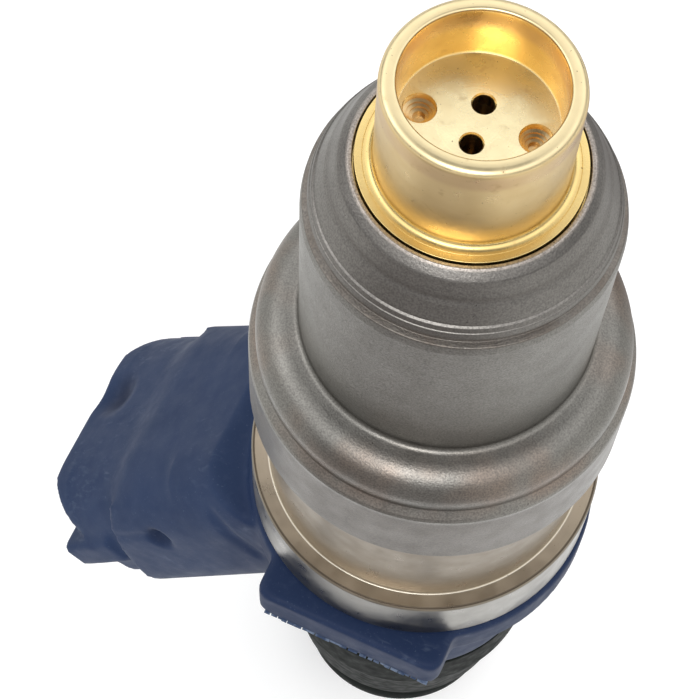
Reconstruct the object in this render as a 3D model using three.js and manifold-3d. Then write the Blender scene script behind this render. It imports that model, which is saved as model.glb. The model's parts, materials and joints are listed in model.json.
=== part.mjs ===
// A top-feed petrol fuel injector, in millimetres.
// +Z points to the nozzle, the origin is on the axis in the fuel inlet's end face, and the
// electrical connector leans out towards -X. Heights are measured from the inlet end face.

import * as THREE from "three";
import { mergeVertices } from "three/addons/utils/BufferGeometryUtils.js";
import Module from "manifold-3d";

const wasm = await Module();
wasm.setup();

// ---------------------------------------------------------------- driving dimensions

const VISIBLE_SEGMENTS = 32;
const HIDDEN_SEGMENTS = 20;

const TOTAL_LENGTH = 78.5;
const FIT = 0.06; // radial clearance between nested pieces

// brass spray cup
const CUP_RADIUS = 4.7;
const CUP_BORE = 3.85;
const CUP_FLOOR = 75.1;
const CUP_BASE = 71.0;
const CUP_FLANGE_RADIUS = 5.5;
const CUP_FLANGE_TOP = 72.05;
const CUP_FOOT_RADIUS = 5.8;
const CUP_TURN = THREE.MathUtils.degToRad(8); // hole pattern against the connector
const JET_RADIUS = 0.53;
const JET_OFFSET = 1.1;
const POCKET_RADIUS = 0.78;
const POCKET_OFFSET = 2.75;

// steel nozzle holder
const HOLDER_LIP = 72.0;
const HOLDER_NECK_RADIUS = 8.08;
const HOLDER_BEAD_RADIUS = 7.7;
const HOLDER_SHOULDER_RADIUS = 10.55;
const HOLDER_SKIRT_RADIUS = 10.9;
const HOLDER_SKIRT_BORE = 10.0;
const HOLDER_SKIRT_END = 46.7;
const HOLDER_BORE = 5.0;

// magnet housing
const HOUSING_RADIUS = 9.85;
const HOUSING_BORE = 9.25;
const HOUSING_LEDGE = 36.9;
const HOUSING_END = 32.4;
const HOUSING_FLANGE_RADIUS = 10.95;

// magnet circuit and valve
const CORE_RADIUS = 4.4;
const CORE_BORE = 2.2;
const CORE_END = 44.5;
const CORE_FLANGE_TOP = 38.4;
const CORE_FLANGE_BOTTOM = 36.9;
const ARMATURE_BOTTOM = 44.75;
const ARMATURE_TOP = 52.5;
const STOPPER_BOTTOM = 53.1;
const STOPPER_TOP = 53.9;
const VALVE_BODY_TOP = 70.3;
const NEEDLE_RADIUS = 1.94;
const SPRING_RADIUS = 1.65;
const SPRING_WIRE = 0.3;
const SPRING_TURNS = 8;

// coil
const BOBBIN_BOTTOM = 38.6;
const BOBBIN_TOP = 49.6;
const BOBBIN_BORE = 5.5;
const BOBBIN_RADIUS = 9.1;
const FLANGE_THICKNESS = 1.3;

// blue moulding
const COLLAR_RADIUS = 11.2;
const COLLAR_TOP = 32.2;
const COLLAR_BOTTOM = 29.0;
const LUG_HALF_WIDTH = 6.3;
const LUG_REACH = 12.0;
const BARREL_END = 18.4;
const CONNECTOR_DROOP = THREE.MathUtils.degToRad(48.5);
const CONNECTOR_MOUTH = new THREE.Vector3(-22.1, 0, 12.2); // centre of the mouth
const CONNECTOR_FLARE = 0.0085; // share by which the connector widens for each millimetre outwards
const CONNECTOR_LENGTH = 24;
const CONNECTOR_WIDTH = 18.2;
const CONNECTOR_HEIGHT = 11.6;
const CONNECTOR_CORNER = 4.4;
const SLEEVE_WIDTH = 17.2; // the narrower part that the plug's shell slides over
const SLEEVE_HEIGHT = 10.6;
const SLEEVE_LENGTH = 4.0;
const SLEEVE_CORNER = 5.6;
const SLEEVE_SLANT = THREE.MathUtils.degToRad(24); // the body's end leans back on its upper side
const RAIL_WIDTH = 18.1; // across both guide rails on the sleeve's sides
const RAIL_HEIGHT = 2.6;
const RAIL_RISE = 0.7;
const CLIP_SPAN = 3.2;
const CLIP_SETBACK = 13.9; // from the mouth to the middle of the clip notch
const CLIP_RISE = 1.6;
const LATCH_RADIUS = 2.3;
const LATCH_DEPTH = 0.3;
const LATCH_OFFSET = 1.9;
const SOCKET_WIDTH = 12.6;
const SOCKET_HEIGHT = 7.6;
const SOCKET_DEPTH = 9.5;
const TERMINAL_OFFSET = 3.7;
const TERMINAL_WIDTH = 1.6;
const TERMINAL_THICKNESS = 0.8;

// inlet end
const INLET_BORE = 3.05;
const INLET_LIP_RADIUS = 5.3;
const INLET_LIP = 1.2;
const RING_SECTION = 1.8;
const RING_CENTRE = 5.4;
const RING_HEIGHT = 3.3;
const SPACER_BOTTOM = 5.5;
const SPACER_TOP = 6.5;
const GROMMET_BOTTOM = 6.7;
const GROMMET_TOP = 18.2;
const GROMMET_TOP_RADIUS = 9.0;
const GROMMET_BOTTOM_RADIUS = 7.8;
const FILTER_BOTTOM = 5.2;
const FILTER_TOP = 13.2;

// ---------------------------------------------------------------- shape helpers

// A closed ring or disc turned about Z from a profile of [radius, height] points, listed
// anticlockwise. A profile that starts on the axis also ends there; any other one is closed here.
function revolve(profile, segments = VISIBLE_SEGMENTS) {
  const points = profile.map(([radius, height]) => new THREE.Vector2(radius, height));
  if (profile[0][0] > 0) points.push(points[0].clone());
  return new THREE.LatheGeometry(points, segments).rotateX(Math.PI / 2);
}

// A plain tube between two heights.
function tube(inner, outer, bottom, top, segments = HIDDEN_SEGMENTS) {
  const profile = [
    [inner, bottom],
    [outer, bottom],
    [outer, top],
    [inner, top],
  ];
  return revolve(profile, segments);
}

// Points on an arc of a profile, from one angle to another in degrees.
function arc(radius, height, size, from, to, steps) {
  return Array.from({ length: steps + 1 }, (_, i) => {
    const angle = THREE.MathUtils.degToRad(from + ((to - from) * i) / steps);
    return [radius + size * Math.cos(angle), height + size * Math.sin(angle)];
  });
}

// A rubber ring of round section.
function ring(centre, height, section, segments = HIDDEN_SEGMENTS, sides = 8) {
  return new THREE.TorusGeometry(centre, section, sides, segments).translate(0, 0, height);
}

// A vertical round bar for cutting a hole.
function rod(radius, bottom, top, x = 0, y = 0, sides = 16) {
  return new THREE.CylinderGeometry(radius, radius, top - bottom, sides)
    .rotateX(Math.PI / 2)
    .translate(x, y, (top + bottom) / 2);
}

// A box between two corners.
function block(low, high) {
  const size = high.map((value, i) => value - low[i]);
  const centre = high.map((value, i) => (value + low[i]) / 2);
  return new THREE.BoxGeometry(...size).translate(...centre);
}

// A rectangle with rounded corners, centred on its origin.
function roundedRectangle(width, height, corner) {
  const x = width / 2 - corner;
  const y = height / 2 - corner;
  const shape = new THREE.Shape();
  shape.absarc(x, y, corner, 0, Math.PI / 2);
  shape.absarc(-x, y, corner, Math.PI / 2, Math.PI);
  shape.absarc(-x, -y, corner, Math.PI, 1.5 * Math.PI);
  shape.absarc(x, -y, corner, 1.5 * Math.PI, 2 * Math.PI);
  return shape;
}

// A flat plate cut from a shape, lying between two heights.
function plate(shape, bottom, top, curveSegments = 10) {
  const options = { depth: top - bottom, bevelEnabled: false, curveSegments };
  return new THREE.ExtrudeGeometry(shape, options).translate(0, 0, bottom);
}

function toSolid(geometry) {
  const bare = geometry.index ? geometry.toNonIndexed() : geometry.clone();
  bare.deleteAttribute("normal");
  bare.deleteAttribute("uv");
  const merged = mergeVertices(bare, 1e-4);
  const mesh = new wasm.Mesh({
    numProp: 3,
    vertProperties: merged.attributes.position.array,
    triVerts: new Uint32Array(merged.index.array),
  });
  return new wasm.Manifold(mesh);
}

function toGeometry(solid) {
  const mesh = solid.getMesh();
  const geometry = new THREE.BufferGeometry();
  geometry.setAttribute("position", new THREE.BufferAttribute(mesh.vertProperties, 3));
  geometry.setIndex(new THREE.BufferAttribute(mesh.triVerts, 1));
  geometry.computeVertexNormals();
  return geometry;
}

function cut(geometry, ...tools) {
  return toGeometry(tools.reduce((solid, tool) => solid.subtract(toSolid(tool)), toSolid(geometry)));
}

function join(...geometries) {
  return toGeometry(geometries.map(toSolid).reduce((whole, part) => whole.add(part)));
}

function overlap(a, b) {
  return toGeometry(toSolid(a).intersect(toSolid(b)));
}

// ---------------------------------------------------------------- nozzle end

function sprayCup() {
  const body = revolve([
    [0, CUP_BASE + 1.2],
    [1.9, CUP_BASE + 1.2],
    [1.9, CUP_BASE],
    [CUP_FOOT_RADIUS, CUP_BASE],
    [CUP_FOOT_RADIUS, CUP_BASE + 0.35],
    [CUP_FLANGE_RADIUS, CUP_BASE + 0.35],
    [CUP_FLANGE_RADIUS, CUP_FLANGE_TOP - 0.1],
    [CUP_FLANGE_RADIUS - 0.1, CUP_FLANGE_TOP],
    ...arc(CUP_RADIUS + 0.53, CUP_FLANGE_TOP + 0.6, 0.55, 265, 180, 4),
    [CUP_RADIUS, TOTAL_LENGTH - 0.55],
    ...arc(CUP_RADIUS - 0.35, TOTAL_LENGTH - 0.35, 0.35, 0, 90, 3),
    [CUP_BORE + 0.08, TOTAL_LENGTH],
    [CUP_BORE, TOTAL_LENGTH - 0.08],
    [CUP_BORE - 0.07, CUP_FLOOR],
    [0, CUP_FLOOR],
  ]);
  const tools = [];
  for (const side of [-1, 1]) {
    const jet = rod(JET_RADIUS, CUP_BASE, CUP_FLOOR + 1, 0, side * JET_OFFSET);
    const pocket = rod(POCKET_RADIUS, CUP_FLOOR - 0.55, CUP_FLOOR + 1, side * POCKET_OFFSET, 0);
    const step = rod(POCKET_RADIUS * 0.6, CUP_FLOOR - 0.95, CUP_FLOOR, side * POCKET_OFFSET, 0);
    tools.push(...[jet, pocket, step].map((tool) => tool.rotateZ(CUP_TURN)));
  }
  return cut(body, ...tools);
}

// The stepped steel body: crimped lip, bead, neck, rounded shoulder and the skirt over the housing.
function nozzleHolder() {
  const bead = HOLDER_BEAD_RADIUS;
  const neck = HOLDER_NECK_RADIUS;
  const shoulder = HOLDER_SHOULDER_RADIUS;
  return revolve([
    [HOLDER_SKIRT_BORE, HOLDER_SKIRT_END],
    [HOLDER_SKIRT_RADIUS - 0.1, HOLDER_SKIRT_END],
    [HOLDER_SKIRT_RADIUS, HOLDER_SKIRT_END + 0.2],
    [HOLDER_SKIRT_RADIUS - 0.04, 51.8],
    [shoulder + 0.17, 52.15],
    [shoulder, 52.6],
    ...arc(shoulder - 2.1, 53.35, 2.1, 12, 75, 5),
    [neck + 0.8, 55.62],
    ...arc(neck + 0.45, 56.05, 0.45, 255, 180, 3),
    [neck, 67.3],
    [neck - 0.1, 67.95],
    [bead - 0.05, 68.05],
    ...arc(bead - 0.35, 68.55, 0.35, -50, 60, 3),
    [7.5, 69.0],
    [6.86, 70.35],
    [6.7, 70.7],
    [6.3, 71.6],
    [5.95, HOLDER_LIP],
    [5.62, HOLDER_LIP - 0.05],
    [5.62, 71.45],
    [CUP_FOOT_RADIUS + FIT, 71.45],
    [CUP_FOOT_RADIUS + FIT, 70.35],
    [HOLDER_BORE, 70.35],
    [HOLDER_BORE, STOPPER_BOTTOM - 0.1],
    [CORE_RADIUS + 0.15, STOPPER_BOTTOM - 0.1],
    [CORE_RADIUS + 0.15, 51.3],
    [BOBBIN_BORE - 0.1, 51.3],
    [BOBBIN_BORE - 0.1, 50.2],
    [HOLDER_SKIRT_BORE, 50.2],
  ]);
}

function orificePlate() {
  const disc = new THREE.Shape().absarc(0, 0, CUP_FOOT_RADIUS - 0.1, 0, 2 * Math.PI);
  for (const side of [-1, 1]) {
    disc.holes.push(new THREE.Path().absarc(0, side * 0.7, 0.28, 0, 2 * Math.PI));
  }
  return plate(disc, 70.45, 70.85, HIDDEN_SEGMENTS / 2).rotateZ(CUP_TURN);
}

function valveBody() {
  const outer = HOLDER_BORE - FIT;
  return revolve(
    [
      [NEEDLE_RADIUS + 0.04, STOPPER_TOP + 0.1],
      [outer - 0.3, STOPPER_TOP + 0.1],
      [outer, STOPPER_TOP + 0.4],
      [outer, 60.2],
      [outer - 0.9, 60.2],
      [outer - 0.9, 62.0],
      [outer, 62.0],
      [outer, VALVE_BODY_TOP],
      [0.6, VALVE_BODY_TOP],
      [0.6, 69.65],
      [NEEDLE_RADIUS + 0.04, 68.25],
      [NEEDLE_RADIUS + 0.04, 65.3],
      [2.7, 64.6],
      [2.7, 58.9],
      [NEEDLE_RADIUS + 0.04, 58.2],
    ],
    HIDDEN_SEGMENTS,
  );
}

// The needle has a conical tip and two guide lands, each with four flats that let fuel past.
function needleValve() {
  const bar = revolve(
    [
      [0, 49.6],
      [1.4, 49.6],
      [1.4, 52.7],
      [1.15, 52.8],
      [1.15, STOPPER_TOP + 0.2],
      [NEEDLE_RADIUS, STOPPER_TOP + 0.2],
      [NEEDLE_RADIUS, 58.1],
      [1.35, 58.7],
      [1.35, 64.9],
      [NEEDLE_RADIUS, 65.4],
      [NEEDLE_RADIUS, 68.0],
      [0.45, 69.45],
      [0, 69.55],
    ],
    24,
  );
  const flats = [];
  for (let quarter = 0; quarter < 4; quarter += 1) {
    for (const [bottom, top] of [[54.6, 58.6], [65.0, 67.6]]) {
      const flat = block([1.62, -2.5, bottom], [3, 2.5, top]);
      flats.push(flat.rotateZ((quarter * Math.PI) / 2));
    }
  }
  return cut(bar, ...flats);
}

// A C-shaped washer that limits the needle's lift.
function stopperPlate() {
  const outer = HOLDER_BORE - 2 * FIT;
  const slot = 1.3;
  const start = Math.asin(slot / outer);
  const shape = new THREE.Shape();
  shape.absarc(0, 0, outer, start, 2 * Math.PI - start);
  shape.lineTo(0, -slot);
  shape.absarc(0, 0, slot, 1.5 * Math.PI, 0.5 * Math.PI, true);
  return plate(shape, STOPPER_BOTTOM, STOPPER_TOP, HIDDEN_SEGMENTS / 2);
}

function valveBodySeal() {
  return ring(HOLDER_BORE - 0.48, 61.1, 0.42);
}

// ---------------------------------------------------------------- magnet circuit

function armature() {
  const body = revolve(
    [
      [CORE_BORE - 0.1, ARMATURE_BOTTOM],
      [CORE_RADIUS - 0.15, ARMATURE_BOTTOM],
      [CORE_RADIUS, ARMATURE_BOTTOM + 0.15],
      [CORE_RADIUS, ARMATURE_TOP - 0.3],
      [CORE_RADIUS - 0.3, ARMATURE_TOP],
      [1.46, ARMATURE_TOP],
      [1.46, 49.4],
      [1.0, 49.4],
      [1.0, 47.3],
      [CORE_BORE - 0.1, 47.3],
    ],
    HIDDEN_SEGMENTS,
  );
  const port = new THREE.CylinderGeometry(0.6, 0.6, 12, 12).rotateZ(Math.PI / 2).translate(0, 0, 48.3);
  return cut(body, port);
}

// A point on the spring's helix. The wire runs flat for one turn at each end.
class SpringCurve extends THREE.Curve {
  constructor(bottom, top) {
    super();
    this.bottom = bottom;
    this.top = top;
  }

  getPoint(t, target = new THREE.Vector3()) {
    const angle = 2 * Math.PI * SPRING_TURNS * t;
    const rise = THREE.MathUtils.smoothstep(t, 0.02, 0.98);
    const height = THREE.MathUtils.lerp(this.bottom, this.top, 0.5 * (t + rise));
    return target.set(SPRING_RADIUS * Math.cos(angle), SPRING_RADIUS * Math.sin(angle), height);
  }
}

function returnSpring() {
  const wire = new THREE.Shape().absarc(0, 0, SPRING_WIRE, 0, 2 * Math.PI);
  const path = new SpringCurve(36.7, 46.9);
  const options = { steps: 12 * SPRING_TURNS, extrudePath: path, curveSegments: 3 };
  return new THREE.ExtrudeGeometry(wire, { ...options, bevelEnabled: false });
}

function adjustingTube() {
  return tube(1.2, CORE_BORE - FIT, 22.0, 36.3);
}

// The fixed core is one long tube: pole face, top plate, fuel tube and the inlet's groove and lip.
function inletCore() {
  return revolve([
    [INLET_BORE, 0],
    [INLET_LIP_RADIUS - 0.25, 0],
    [INLET_LIP_RADIUS, 0.25],
    [INLET_LIP_RADIUS, INLET_LIP],
    [RING_CENTRE - RING_SECTION - 0.1, INLET_LIP],
    [RING_CENTRE - RING_SECTION - 0.1, SPACER_TOP],
    [CORE_RADIUS, SPACER_TOP + 0.5],
    [CORE_RADIUS, CORE_FLANGE_BOTTOM],
    [HOUSING_BORE - 0.15, CORE_FLANGE_BOTTOM],
    [HOUSING_BORE - 0.15, CORE_FLANGE_TOP],
    [CORE_RADIUS, CORE_FLANGE_TOP],
    [CORE_RADIUS, CORE_END],
    [CORE_BORE, CORE_END],
    [CORE_BORE, FILTER_TOP + 0.8],
    [INLET_BORE, FILTER_TOP + 0.3],
  ]);
}

function nonmagneticRing() {
  return tube(CORE_RADIUS + 0.15, BOBBIN_BORE - 0.15, 43.0, 51.0);
}

function magnetHousing() {
  const radius = HOUSING_RADIUS;
  const flange = HOUSING_FLANGE_RADIUS;
  return revolve([
    [HOUSING_BORE, HOUSING_END],
    [flange - 0.3, HOUSING_END],
    [flange - 0.1, HOUSING_END + 0.2],
    [flange, HOUSING_LEDGE - 0.3],
    [flange - 0.1, HOUSING_LEDGE],
    [radius + 0.25, HOUSING_LEDGE],
    [radius, HOUSING_LEDGE + 0.25],
    [radius, 49.9],
    [HOUSING_BORE, 49.9],
  ]);
}

// ---------------------------------------------------------------- coil

function coilBobbin() {
  const barrel = BOBBIN_BORE + 0.7;
  const seat = BOBBIN_BORE + 1.25;
  return revolve(
    [
      [seat, BOBBIN_BOTTOM],
      [BOBBIN_RADIUS, BOBBIN_BOTTOM],
      [BOBBIN_RADIUS, BOBBIN_BOTTOM + FLANGE_THICKNESS],
      [barrel, BOBBIN_BOTTOM + FLANGE_THICKNESS],
      [barrel, BOBBIN_TOP - FLANGE_THICKNESS],
      [BOBBIN_RADIUS, BOBBIN_TOP - FLANGE_THICKNESS],
      [BOBBIN_RADIUS, BOBBIN_TOP],
      [seat, BOBBIN_TOP],
      [seat, BOBBIN_TOP - 0.9],
      [BOBBIN_BORE, BOBBIN_TOP - 0.9],
      [BOBBIN_BORE, BOBBIN_BOTTOM + 0.9],
      [seat, BOBBIN_BOTTOM + 0.9],
    ],
    HIDDEN_SEGMENTS,
  );
}

// The winding is a solid of the copper's outer shape, slightly barrelled as laid wire is.
function coilWinding() {
  const inner = BOBBIN_BORE + 0.8;
  const bottom = BOBBIN_BOTTOM + FLANGE_THICKNESS + 0.05;
  const top = BOBBIN_TOP - FLANGE_THICKNESS - 0.05;
  const outer = BOBBIN_RADIUS - 0.5;
  return revolve(
    [
      [inner, bottom],
      [outer - 0.3, bottom],
      [outer, bottom + 0.5],
      [outer, top - 0.5],
      [outer - 0.3, top],
      [inner, top],
    ],
    HIDDEN_SEGMENTS,
  );
}

function coilSeal(height) {
  return ring(BOBBIN_BORE + 0.65, height, 0.42);
}

// ---------------------------------------------------------------- moulding and terminals

// The connector's own frame: local X across the connector, local Z out of its mouth.
const connectorAxis = new THREE.Vector3(-Math.cos(CONNECTOR_DROOP), 0, -Math.sin(CONNECTOR_DROOP));
const connectorUp = new THREE.Vector3(-Math.sin(CONNECTOR_DROOP), 0, Math.cos(CONNECTOR_DROOP));
const connectorFrame = new THREE.Matrix4()
  .makeBasis(new THREE.Vector3(0, -1, 0), connectorUp, connectorAxis)
  .setPosition(CONNECTOR_MOUTH);

// A bar of rounded section along the connector, from one distance behind the mouth to another. It
// keeps its width unless it is flared, and then it has that width 8 mm behind the mouth.
function connectorBar(width, height, corner, from, to, flare = 0) {
  const bar = plate(roundedRectangle(width, height, corner), from, to, 4);
  const position = bar.getAttribute("position");
  for (let i = 0; i < position.count; i += 1) {
    position.setX(i, position.getX(i) * (1 + flare * (position.getZ(i) + 8)));
  }
  return bar.applyMatrix4(connectorFrame);
}

// Moves a shape towards the connector's upper side.
function raised(geometry, distance) {
  return geometry.translate(...connectorUp.clone().multiplyScalar(distance));
}

function mouldedBody() {
  const barrel = revolve([
    [CORE_RADIUS + FIT, BARREL_END],
    [8.8, BARREL_END],
    [9.08, BARREL_END + 0.3],
    [9.4, COLLAR_BOTTOM],
    [COLLAR_RADIUS, COLLAR_BOTTOM],
    [COLLAR_RADIUS, COLLAR_TOP - 0.3],
    [COLLAR_RADIUS - 0.3, COLLAR_TOP],
    [HOUSING_BORE - 0.15, COLLAR_TOP],
    [HOUSING_BORE - 0.15, CORE_FLANGE_BOTTOM - 0.1],
    [CORE_RADIUS + FIT, CORE_FLANGE_BOTTOM - 0.1],
  ]);
  const lugShape = roundedRectangle(2 * LUG_HALF_WIDTH, 2 * LUG_REACH, 0.8);
  const lugs = plate(lugShape, COLLAR_BOTTOM, COLLAR_TOP, 3);
  const insideHousing = block([-40, -20, 0], [-6.5, 20, COLLAR_TOP - 0.8]);
  const section = [CONNECTOR_WIDTH, CONNECTOR_HEIGHT, CONNECTOR_CORNER];
  const bar = connectorBar(...section, -CONNECTOR_LENGTH, -SLEEVE_LENGTH, CONNECTOR_FLARE);
  const root = cut(overlap(bar, insideHousing), slantedEnd());
  const railSection = [RAIL_WIDTH, RAIL_HEIGHT, 0.5];
  const railBar = connectorBar(...railSection, -SLEEVE_LENGTH - 1, -0.3, CONNECTOR_FLARE);
  const rails = raised(railBar, RAIL_RISE);
  const socket = connectorBar(SOCKET_WIDTH, SOCKET_HEIGHT, 2.4, -SOCKET_DEPTH, 1);
  const bore = rod(CORE_RADIUS + FIT, BARREL_END - 1, CORE_FLANGE_BOTTOM + 1, 0, 0, VISIBLE_SEGMENTS);
  const slots = [-1, 1].map((side) => terminal(side, FIT));
  const whole = join(barrel, lugs, root, connectorSleeve(), rails);
  return cut(whole, bore, socket, latchNotch(), ...clipNotches(), ...slots);
}

// What is taken off the body's end to lean it back, hinged on the lower side's edge.
function slantedEnd() {
  return block([-20, 0, 0], [20, 20, 10])
    .rotateX(-SLEEVE_SLANT)
    .translate(0, -CONNECTOR_HEIGHT / 2, -SLEEVE_LENGTH)
    .applyMatrix4(connectorFrame);
}

// The sleeve round the mouth: its section has rounded corners, and so has its outline from above.
function connectorSleeve() {
  const section = connectorBar(SLEEVE_WIDTH, SLEEVE_HEIGHT, 4.6, -SLEEVE_LENGTH - 6, 0, CONNECTOR_FLARE);
  const outline = roundedRectangle(SLEEVE_WIDTH + 1.4, 20, SLEEVE_CORNER);
  const fromAbove = plate(outline, -CONNECTOR_HEIGHT, CONNECTOR_HEIGHT, 4)
    .rotateX(Math.PI / 2)
    .translate(0, 0, -10)
    .applyMatrix4(connectorFrame);
  return overlap(section, fromAbove);
}

// A shallow dish in the mouth's upper edge, for the plug's latch.
function latchNotch() {
  const dish = rod(LATCH_RADIUS, -3.4, 1).applyMatrix4(connectorFrame);
  return raised(dish, SLEEVE_HEIGHT / 2 + LATCH_RADIUS - LATCH_DEPTH).translate(0, LATCH_OFFSET, 0);
}

// A notch in each side wall, where the plug's wire clip snaps in.
function clipNotches() {
  const start = -CLIP_SETBACK - CLIP_SPAN / 2;
  return [-1, 1].map((side) => {
    const notch = connectorBar(1.8, CLIP_SPAN, 0.6, start, start + CLIP_SPAN);
    return raised(notch, CLIP_RISE).translate(0, (side * (CONNECTOR_WIDTH - 0.9)) / 2, 0);
  });
}

// A bent blade: down beside the core from the coil, then out along the connector into the socket.
function terminal(side, clearance = 0) {
  const half = TERMINAL_THICKNESS / 2 + clearance;
  const tip = CONNECTOR_MOUTH.clone().addScaledVector(connectorAxis, -2.6);
  const rise = 7.0; // radius of the vertical leg from the injector's axis
  const along = (tip.x + rise) / connectorAxis.x;
  const bendHeight = tip.z - along * connectorAxis.z;
  const top = CORE_FLANGE_BOTTOM - 0.4 + clearance * 3;
  const bend = half * Math.tan(CONNECTOR_DROOP / 2 - Math.PI / 4);
  const normal = new THREE.Vector2(connectorUp.x, connectorUp.z).multiplyScalar(half);
  const end = new THREE.Vector2(tip.x, tip.z);
  const outline = [
    new THREE.Vector2(-rise - half, top),
    new THREE.Vector2(-rise - half, bendHeight - bend),
    end.clone().add(normal),
    end.clone().sub(normal),
    new THREE.Vector2(-rise + half, bendHeight + bend),
    new THREE.Vector2(-rise + half, top),
  ];
  const width = TERMINAL_WIDTH + 2 * clearance;
  const options = { depth: width, bevelEnabled: false };
  return new THREE.ExtrudeGeometry(new THREE.Shape(outline), options)
    .rotateX(Math.PI / 2)
    .translate(0, side * TERMINAL_OFFSET + width / 2, 0);
}

// ---------------------------------------------------------------- inlet end

function grommet() {
  return revolve([
    [CORE_RADIUS + 0.08, GROMMET_BOTTOM],
    [GROMMET_BOTTOM_RADIUS - 1.2, GROMMET_BOTTOM],
    ...arc(GROMMET_BOTTOM_RADIUS - 0.9, GROMMET_BOTTOM + 0.9, 0.9, -70, 0, 3),
    [GROMMET_TOP_RADIUS - 0.4, GROMMET_BOTTOM + 6.0],
    [GROMMET_TOP_RADIUS, GROMMET_BOTTOM + 7.6],
    [GROMMET_TOP_RADIUS, GROMMET_TOP - 0.3],
    [GROMMET_TOP_RADIUS - 0.3, GROMMET_TOP],
    [CORE_RADIUS + 0.08, GROMMET_TOP],
  ]);
}

function ringSpacer() {
  return tube(RING_CENTRE - RING_SECTION, 6.7, SPACER_BOTTOM, SPACER_TOP, VISIBLE_SEGMENTS);
}

function inletRing() {
  return ring(RING_CENTRE, RING_HEIGHT, RING_SECTION, VISIBLE_SEGMENTS, 12);
}

// The filter's frame: a lip that seats in the inlet, four ribs and a closed end.
function filterFrame() {
  const outer = INLET_BORE - FIT;
  const lip = tube(2.2, outer, FILTER_BOTTOM, FILTER_BOTTOM + 1.6);
  const end = rod(1.9, FILTER_TOP - 0.7, FILTER_TOP, 0, 0, HIDDEN_SEGMENTS);
  const ribs = [0, 1, 2, 3].map((quarter) => {
    const rib = block([1.35, -0.3, FILTER_BOTTOM + 0.2], [2.35, 0.3, FILTER_TOP - 0.1]);
    return rib.rotateZ(((quarter + 0.5) * Math.PI) / 2);
  });
  const hub = tube(1.35, 1.9, FILTER_TOP - 1.6, FILTER_TOP - 0.1);
  return join(lip, end, hub, ...ribs);
}

// The mesh stands inside the ribs as a thin sleeve.
function filterMesh() {
  return tube(1.1, 1.25, FILTER_BOTTOM + 0.4, FILTER_TOP - 0.8, 24);
}

// ---------------------------------------------------------------- assembly

const BRASS = { color: 0xc9a24a, roughness: 0.32, metalness: 1 };
const SATIN_STEEL = { color: 0x8d8b86, roughness: 0.42, metalness: 1 };
const PLATED_STEEL = { color: 0x9c9586, roughness: 0.38, metalness: 1 };
const BRIGHT_STEEL = { color: 0xb9bbbd, roughness: 0.25, metalness: 1 };
const BLUE_PLASTIC = { color: 0x2f4166, roughness: 0.5, metalness: 0 };
const BLACK_RUBBER = { color: 0x1c1e1d, roughness: 0.75, metalness: 0 };
const BROWN_RUBBER = { color: 0x4a2b1c, roughness: 0.6, metalness: 0 };
const NATURAL_PLASTIC = { color: 0xcfc8b4, roughness: 0.5, metalness: 0 };
const COPPER = { color: 0xa85a32, roughness: 0.35, metalness: 1 };
const TINNED = { color: 0xb7b4ac, roughness: 0.3, metalness: 1 };

const pieces = [
  ["spray_cup", sprayCup(), BRASS],
  ["nozzle_holder", nozzleHolder(), SATIN_STEEL],
  ["orifice_plate", orificePlate(), BRIGHT_STEEL],
  ["valve_body", valveBody(), BRIGHT_STEEL],
  ["valve_body_seal", valveBodySeal(), BROWN_RUBBER],
  ["needle_valve", needleValve(), BRIGHT_STEEL],
  ["stopper_plate", stopperPlate(), BRIGHT_STEEL],
  ["armature", armature(), SATIN_STEEL],
  ["return_spring", returnSpring(), BRIGHT_STEEL],
  ["adjusting_tube", adjustingTube(), BRASS],
  ["inlet_core", inletCore(), BRIGHT_STEEL],
  ["nonmagnetic_ring", nonmagneticRing(), BRIGHT_STEEL],
  ["magnet_housing", magnetHousing(), PLATED_STEEL],
  ["coil_bobbin", coilBobbin(), NATURAL_PLASTIC],
  ["coil_winding", coilWinding(), COPPER],
  ["coil_seal_nozzle_side", coilSeal(BOBBIN_TOP - 0.42), BROWN_RUBBER],
  ["coil_seal_inlet_side", coilSeal(BOBBIN_BOTTOM + 0.42), BROWN_RUBBER],
  ["moulded_body", mouldedBody(), BLUE_PLASTIC],
  ["terminal_left", terminal(-1), TINNED],
  ["terminal_right", terminal(1), TINNED],
  ["inlet_grommet", grommet(), BLACK_RUBBER],
  ["ring_spacer", ringSpacer(), NATURAL_PLASTIC],
  ["inlet_o_ring", inletRing(), BLACK_RUBBER],
  ["filter_frame", filterFrame(), NATURAL_PLASTIC],
  ["filter_mesh", filterMesh(), TINNED],
];

const injector = new THREE.Group();
for (const [name, geometry, finish] of pieces) {
  const mesh = new THREE.Mesh(geometry, new THREE.MeshStandardMaterial(finish));
  mesh.name = name;
  injector.add(mesh);
}

export default injector;
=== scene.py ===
"""The looks of a petrol fuel injector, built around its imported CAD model.

Row frame in metres: the fuel inlet's end face is at z = 0 and the spray cup points to +Z. Profiles and
sizes below are in millimetres, as pairs of radius and height, and MM turns them into metres.
"""

import json
import math
import random

import bmesh
import bpy
import numpy as np
from mathutils import Matrix, Vector


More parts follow.
